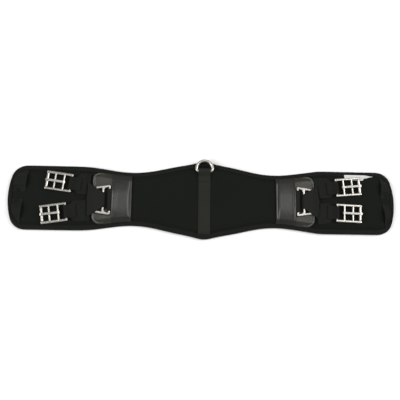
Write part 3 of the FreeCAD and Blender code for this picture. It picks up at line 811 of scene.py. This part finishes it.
def make_anchor(side, sx):
    bar, shift, z = slide_place(side)
    path = [(PATCH_INNER + 6, z - LOOP_R), (bar - 6, z - LOOP_R)] + arc((bar, z), LOOP_R, -90, 100)
    path += [(bar - 9, z - LOOP_R + 2 * WEB + 0.3), (PATCH_INNER + 6, z - LOOP_R + WEB)]
    left, right = loop_edges(path, [ANCHOR_HALF] * len(path), shift, sx)
    strip(side + "_anchor_webbing", left, right, WEB, YOKE_WEB, "webbing", "band", [side + "_anchor_loop"])


# distance outwards from the slide's inner bar, and the yoke's half width there
YOKE_WIDTHS = ((13.0, 15.4), (26.0, 23.8), (39.0, 32.6))
YOKE_END_HALF = 32.6


# how far the yoke's middle stands out beyond its corners
YOKE_POINT = {"left": 1.0, "right": 5.0}


def yoke_tip(side):
    """Distance out to the corners of the yoke's end."""
    low, high = corners(side + "_yoke")
    return max(abs(low[0]), abs(high[0])) - YOKE_POINT[side]


def yoke_reach(side, y):
    """Distance out to the yoke's end at height y."""
    return yoke_tip(side) + YOKE_POINT[side] * max(0.0, 1 - abs(y - slide_place(side)[1]) / YOKE_END_HALF)


def make_yoke(side, sx):
    """Doubled webbing round the slide's middle bar, spreading to where it is sewn to the straps."""
    bar, shift, z = slide_place(side)
    middle = bar + BAR_STEP
    tip = yoke_tip(side)
    lap = TOP + 3.1
    out = [(tip - 0.6, lap + WEB / 2), (tip - 7, lap + WEB / 2)]
    out += [(bar + 31.5, z - LOOP_R), (middle, z - LOOP_R)]
    out += arc((middle, z), LOOP_R, -90, -270)[1:]
    out += [(bar + 23, z + LOOP_R + 0.15), (bar + 29, z + LOOP_R), (bar + 33, lap + WEB * 2)]
    out += [(tip - 5, lap + WEB * 1.6), (tip, lap + WEB * 1.5)]
    spread = np.interp([x - bar for x, _ in out], *zip(*YOKE_WIDTHS))
    left, right = loop_edges(out, spread, shift, sx)
    strip(side + "_yoke_webbing", right, left, WEB, YOKE_WEB, "webbing", side + "_harness", [side + "_yoke"],
          point=(YOKE_POINT[side], YOKE_POINT[side]))
    top = lap + WEB * 2 + 0.25
    near = tip - 2.6
    for number, inset in enumerate((0.0, 3.0)):
        ys = np.linspace(-1, 1, 40) * (YOKE_END_HALF - 2.5)
        xs = near - inset + YOKE_POINT[side] * (1 - np.abs(ys) / YOKE_END_HALF)
        line = np.column_stack([xs * sx, ys + shift, np.full(40, top + 0.12 * inset)])
        up = np.tile([0.0, 0.0, 1.0], (40, 1))
        row = f"{side}_yoke_stitches_{number + 1}"
        stitch_row(row, line, up, side + "_harness", 3.0, radius=0.3)


# ---- elastic straps, chapes, keepers ----
def strap_places(name):
    """Chape bar, outward direction, and the strap's root, from the frame's joints."""
    flip, stretch = joints[name + "_buckle_flip"], joints[name + "_stretch"]
    bar = np.array(flip["pos_m"]) / MM
    outward = np.array([-flip["axis"][1], flip["axis"][0], 0.0])
    along = np.array(stretch["axis"])
    root_x = stretch["deforming_nodes"][0]["fixed_end_x_m"] / MM
    root = bar - along * (bar[0] - root_x) / along[0]
    return bar, outward, along, root


ELASTIC_THICK = 2.4
ROOT_HALF = 21.5
CHAPE_HALF = 13.5
CHAPE_LAP = 20.0
# each strap is folded at its root: how high the fold stands, and the gap that it leaves to the yoke
FOLD_RISE = 2.2
SEAM_GAP = 1.8
# where the inner corners of each strap's root lie, beyond or short of its middle
ROOT_SKEW = {"left_upper": 0.0, "left_lower": 0.0, "right_upper": -5.0, "right_lower": 2.0}


def make_elastic(name):
    side = name.split("_")[0]
    bar, outward, along, root = strap_places(name)
    level = corners(name + "_elastic")[0][2] + ELASTIC_THICK / 2
    end = bar - outward * 7.4
    length = np.linalg.norm((end - root)[:2])
    left, right = [], []
    for t in np.linspace(0, 1, 60):
        centre = root + (end - root) * t
        aim = unit(along * (1 - t) + outward * t)
        across = np.array([-aim[1], aim[0], 0.0])
        if across[1] < 0:
            across = -across
        narrow = smooth((t * length - length + 9.5) / 9)
        half = ROOT_HALF - 0.8 * t - (ROOT_HALF - CHAPE_HALF - 1.3) * narrow
        skew = ROOT_SKEW[name] * max(0.0, 1 - t * length / 16) * aim
        wave = 0.25 * math.sin(t * 7 + root[1])
        upper, lower = centre + across * half + skew, centre - across * half - skew * 0.2
        for line, point in ((left, upper), (right, lower)):
            beyond = abs(point[0]) - yoke_reach(side, point[1])
            fold = FOLD_RISE * smooth((beyond - SEAM_GAP) / 1.2) * (1 - smooth((beyond - 5) / 9))
            line.append((point[0], point[1], level + wave * (1 - t) * t * 2 + fold))
    if SIDES[side] < 0:
        left, right = right, left
    piece = strip(name + "_elastic_strap", left, right, ELASTIC_THICK, ELASTIC, "elastic",
                  None, [name + "_elastic"], relief=0.16, plain=False, pitch=2.0, crown=0.25)
    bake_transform(piece)


def make_chape(name):
    """Webbing folded round the buckle's end bar, sewn on top of the elastic."""
    bar, outward, _, _ = strap_places(name)
    across = np.array([-outward[1], outward[0], 0.0])
    seat = corners(name + "_elastic")[0][2] + ELASTIC_THICK + 0.35 + WEB / 2 - bar[2]
    path = [(-6.8, -LOOP_R)] + arc((0, 0), LOOP_R, -90, 105) + [(-8.5, seat + 0.3), (-CHAPE_LAP, seat)]
    lines = [[bar + outward * u + np.array([0, 0, z]) + across * CHAPE_HALF * s for u, z in path]
             for s in (1, -1)]
    strip(name + "_chape_webbing", *lines, WEB, CHAPE_WEB, "webbing", name + "_strap_end", [name + "_chape"])
    inner = CHAPE_HALF - 2.2
    plan = [(-CHAPE_LAP + 1.8, -inner), (-CHAPE_LAP + 1.8, inner), (-9.6, inner), (-9.6, -inner)]
    plan = [(bar + outward * u + across * v)[:2] for u, v in plan]
    top = bar[2] + seat + WEB / 2
    stitched_box(name + "_chape_stitches", plan, top + 0.05, name + "_strap_end")


KEEPER_SLANT = {"left_upper": 6.0, "left_lower": 6.0, "right_upper": 1.0, "right_lower": -6.0}
KEEPER_RISE = 4.7
KEEPER_THICK = 1.5
KEEPER_INSET = 10.2         # how far inside the band's end a keeper stops
KEEPER_REACH = 388.5        # and the furthest that it goes from the girth's middle
# where the band's rounded end is looked for, from the middle and to each side
END_START = 250.0
END_HALF = 80.0


def outline_x(y, inset):
    """Distance out to the band's rounded end at height y and a distance inside it."""
    ring = edge.ring(inset)
    ring = ring[(ring[:, 0] > END_START) & (np.abs(ring[:, 1]) < END_HALF)]
    ring = ring[np.argsort(ring[:, 1])]
    keep = np.concatenate([[True], np.diff(ring[:, 1]) > 1e-3])
    return np.interp(y, ring[keep, 1], ring[keep, 0])


def keeper_reach(y):
    return min(float(outline_x(y, KEEPER_INSET)), KEEPER_REACH)


def make_keeper(name):
    """Flat elastic sewn down at both ends, arched so that a billet's end slides under it."""
    sx = SIDES[name.split("_")[0]]
    low, high = corners(name + "_keeper")
    near = min(abs(low[0]), abs(high[0]))
    y0, y1 = low[1] + 0.3, high[1] - 0.3
    lean = math.tan(math.radians(KEEPER_SLANT[name])) * sx
    drift = abs(lean) * (y1 - y0) / 2
    inner, outer = [], []
    for t in np.linspace(0, 1, 40):
        y = y0 + (y1 - y0) * t
        arch = smooth((t - 0.1) / 0.3) * smooth((0.9 - t) / 0.3)
        x_in = near + drift + lean * (y - (y0 + y1) / 2)
        x_out = keeper_reach(y)
        for line, x in ((inner, x_in), (outer, max(x_out, x_in + 4))):
            ground = float(pad_height((sx * x, y))[0])
            rise = ground * (1 - arch) + (TOP + KEEPER_RISE) * arch
            line.append((sx * x, y, rise + KEEPER_THICK / 2 + 0.05))
    left, right = (inner, outer) if sx < 0 else (outer, inner)
    strip(name + "_keeper_strap", left, right, KEEPER_THICK, ELASTIC, "elastic", "band", [name + "_keeper"],
          relief=0.12, plain=False, pitch=2.0)
    for tag, y in (("top", y1 - 2.2), ("bottom", y0 + 2.2)):
        x_in = near + drift + lean * (y - (y0 + y1) / 2) + 1.5
        xs = np.linspace(x_in, keeper_reach(y) - 1.5, 16)
        line = np.column_stack([sx * xs, np.full(16, y)])
        line = np.column_stack([line, pad_height(line) + KEEPER_THICK + 0.2])
        up = np.tile([0.0, 0.0, 1.0], (16, 1))
        stitch_row(f"{name}_keeper_stitches_{tag}", line, up, "band", 2.8, radius=0.3)


# ---- label ----
LABEL_THICK = 0.35


def make_label():
    """Blank satin label: a flat tongue under the buckle with a pointed tip that curls up."""
    low, high = corners("care_label")
    length, width = high[0] - low[0], high[1] - low[1]
    us, vs = np.linspace(0, 1, 61), np.linspace(0, 1, 17)
    top = np.zeros((len(us), len(vs), 3))
    for i, u in enumerate(us):
        taper = smooth((u - 0.66) / 0.34)
        y_high = high[1] - taper * width * 0.22
        y_low = low[1] + smooth((u - 0.6) / 0.12) * width * 0.45
        y_low += (y_high - y_low - 0.8) * smooth((u - 0.74) / 0.26)
        for j, v in enumerate(vs):
            curl = 1.1 * smooth((u - 0.7) / 0.3) + 0.25 * math.sin(u * 9) * (1 - v)
            top[i, j] = (low[0] + u * length, y_low + (y_high - y_low) * v, 0)
            top[i, j, 2] = TOP + 0.9 + curl * 0.8
    ground = pad_height(top[..., :2].reshape(-1, 2)).reshape(top.shape[:2])
    top[..., 2] += np.minimum(ground - TOP, 0) * 0.8
    label = shell_from_grid("blank_label", top, LABEL_THICK, SATIN, "band", ["care_label"])


# ---- build ----
make_cover()
make_binding()
make_centre_strap()
for side, sx in SIDES.items():
    make_safe(side, sx)
    make_patch(side, sx, slide_place(side)[1])
    make_anchor(side, sx)
    make_yoke(side, sx)
    paint_frame_node(side + "_slide", STEEL)
for name in STRAPS:
    make_elastic(name)
    make_chape(name)
    make_keeper(name)
    for part in ("frame", "tongue", "roller"):
        paint_frame_node(name + "_" + part, STEEL)
make_label()
paint_frame_node("dee_ring", WIRE)
paint_frame_node("foam_core", foam_material())


# ---- floor, light and camera ----
# metres
FLOOR_HALF = 6.0
FLOOR_GAP = 0.0003
# name, place, width and height, watts
LIGHTS = (
    ("key", (-1.7, -0.4, 1.6), (0.9, 1.6), 32),
    ("fill", (1.7, 0.3, 1.6), (0.9, 1.6), 28),
    ("top", (0.12, 0.35, 2.2), (1.0, 0.5), 6.5),
)
SURROUND = 0.38


def make_floor():
    mesh = bpy.data.meshes.new("floor")
    size = FLOOR_HALF
    square = [(-size, -size, 0), (size, -size, 0), (size, size, 0), (-size, size, 0)]
    mesh.from_pydata(square, [], [(0, 1, 2, 3)])
    m = Nodes("pale_floor", (0.93, 0.93, 0.93), 0.9)
    m.link(m.mixed(m.noise(3, 2), (0.92, 0.92, 0.92), (0.94, 0.94, 0.94)), "Base Color")
    mesh.materials.append(m.material)
    floor = bpy.data.objects.new("floor", mesh)
    floor.location.z = -FLOOR_GAP
    bpy.context.scene.collection.objects.link(floor)


def make_light(name, place, size, power):
    """A soft box that points at the middle of the girth."""
    data = bpy.data.lights.new(name, "AREA")
    data.shape = "RECTANGLE"
    data.size, data.size_y = size
    data.energy = power
    light = bpy.data.objects.new(name, data)
    light.location = place
    light.rotation_euler = (-Vector(place)).to_track_quat("-Z", "Y").to_euler()
    bpy.context.scene.collection.objects.link(light)


make_floor()
for light in LIGHTS:
    make_light(*light)
world = bpy.data.worlds.new("studio")
world.use_nodes = True
world.node_tree.nodes["Background"].inputs["Color"].default_value = (1, 1, 1, 1)
world.node_tree.nodes["Background"].inputs["Strength"].default_value = SURROUND
bpy.context.scene.world = world
bpy.context.scene.view_settings.view_transform = "Standard"

# the camera stands almost above the girth, a little towards its lower edge and its left end
CAMERA_DISTANCE = 1.2
CAMERA_ROLL, CAMERA_TILT, CAMERA_YAW = (math.radians(a) for a in (-1.05, -10.11, 3.21))
SENSOR = 36.0
VIEW_WIDTH = 0.8255         # what the frame's width shows at the object's middle
camera_data = bpy.data.cameras.new("camera")
camera_data.sensor_width = SENSOR
camera_data.lens = SENSOR * CAMERA_DISTANCE / VIEW_WIDTH
camera_data.shift_x, camera_data.shift_y = -0.0099, 0.0022
camera = bpy.data.objects.new("camera", camera_data)
turn = Matrix.Rotation(-CAMERA_ROLL, 4, "Z") @ Matrix.Rotation(-CAMERA_TILT, 4, "X")
turn = turn @ Matrix.Rotation(-CAMERA_YAW, 4, "Y")
camera.matrix_world = turn @ Matrix.Translation((0, 0, CAMERA_DISTANCE))
bpy.context.scene.collection.objects.link(camera)
bpy.context.scene.camera = camera
